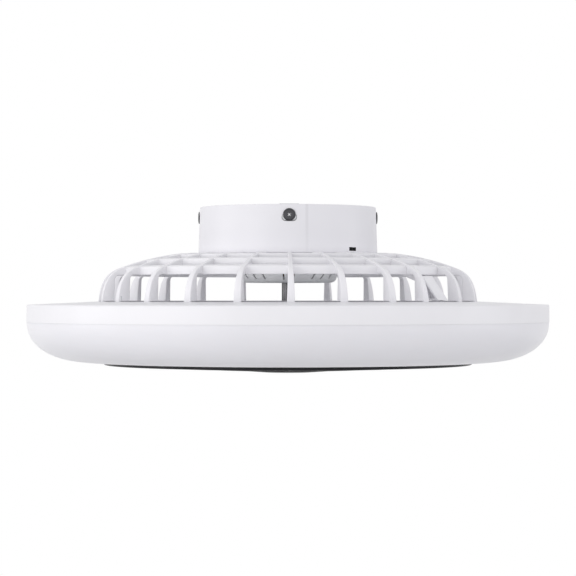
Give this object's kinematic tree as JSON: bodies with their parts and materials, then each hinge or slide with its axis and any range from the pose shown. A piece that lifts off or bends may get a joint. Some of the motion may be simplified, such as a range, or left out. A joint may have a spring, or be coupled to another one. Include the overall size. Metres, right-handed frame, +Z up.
{
  "type": "ceiling fan",
  "caption": "Low white ceiling fan with a round canopy, a domed cage of ribs round the motor, a wide ring light and a fan wheel behind a shallow guard.",
  "frame": {"origin": "centre of the ceiling bracket's upper face, which lies on the ceiling", "axes": "+Z up into the ceiling and along the fan's axis; -Y is the picture's front, +X the picture's right"},
  "size_m": [0.5, 0.5, 0.1593],
  "materials": {
    "white_plastic": "satin white moulded plastic",
    "frosted_plastic": "frosted, milky, lets light through",
    "dark_plastic": "satin dark grey",
    "black_plastic": "glossy black",
    "pale_plastic": "satin pale grey",
    "cast_alloy": "satin cast alloy, painted grey",
    "bright_steel": "zinc-plated",
    "dark_steel": "blackened",
    "core_steel": "stacked laminations, dull",
    "copper": "varnished copper winding",
    "circuit_green": "green circuit board",
    "board_white": "white circuit board with lamps",
    "cable_grey": "soft grey sheath"
  },
  "bodies": {
    "fixed_body": {"bottom_guard": "dark_plastic", "cable_duct": "white_plastic", "cage": "white_plastic", "canopy": "white_plastic", "canopy_screw_back": "dark_steel", "canopy_screw_front": "dark_steel", "canopy_screw_left": "dark_steel", "canopy_screw_right": "dark_steel", "ceiling_bracket": "bright_steel", "control_case": "pale_plastic", "control_circuit": "circuit_green", "control_lid": "pale_plastic", "diffuser": "frosted_plastic", "guard_boss": "dark_plastic", "guard_screw": "black_plastic", "ir_receiver": "black_plastic", "lamp_board": "board_white", "lamp_cable": "cable_grey", "lamp_connector": "pale_plastic", "light_housing": "white_plastic", "lower_bearing": "bright_steel", "motor_lower_bell": "cast_alloy", "motor_screw_1": "bright_steel", "motor_screw_2": "bright_steel", "motor_screw_3": "bright_steel", "motor_screw_4": "bright_steel", "motor_upper_bell": "cast_alloy", "ring_screw_1": "bright_steel", "ring_screw_2": "bright_steel", "ring_screw_3": "bright_steel", "ring_screw_4": "bright_steel", "ring_screw_5": "bright_steel", "ring_screw_6": "bright_steel", "stator_core": "core_steel", "terminal_block": "pale_plastic", "upper_bearing": "bright_steel", "winding_lower": "copper", "winding_upper": "copper"},
    "rotor": {"motor_shaft": "dark_steel", "rotor_core": "core_steel", "fan_wheel": "pale_plastic", "drive_pin": "bright_steel", "spinner_nut": "dark_plastic"}
  },
  "joints": [
    {"name": "rotor_spin", "type": "hinge", "parent": "fixed_body", "child": "rotor", "pos_m": [0, 0, -0.1], "axis": [0, 0, 1], "continuous": true}
  ]
}
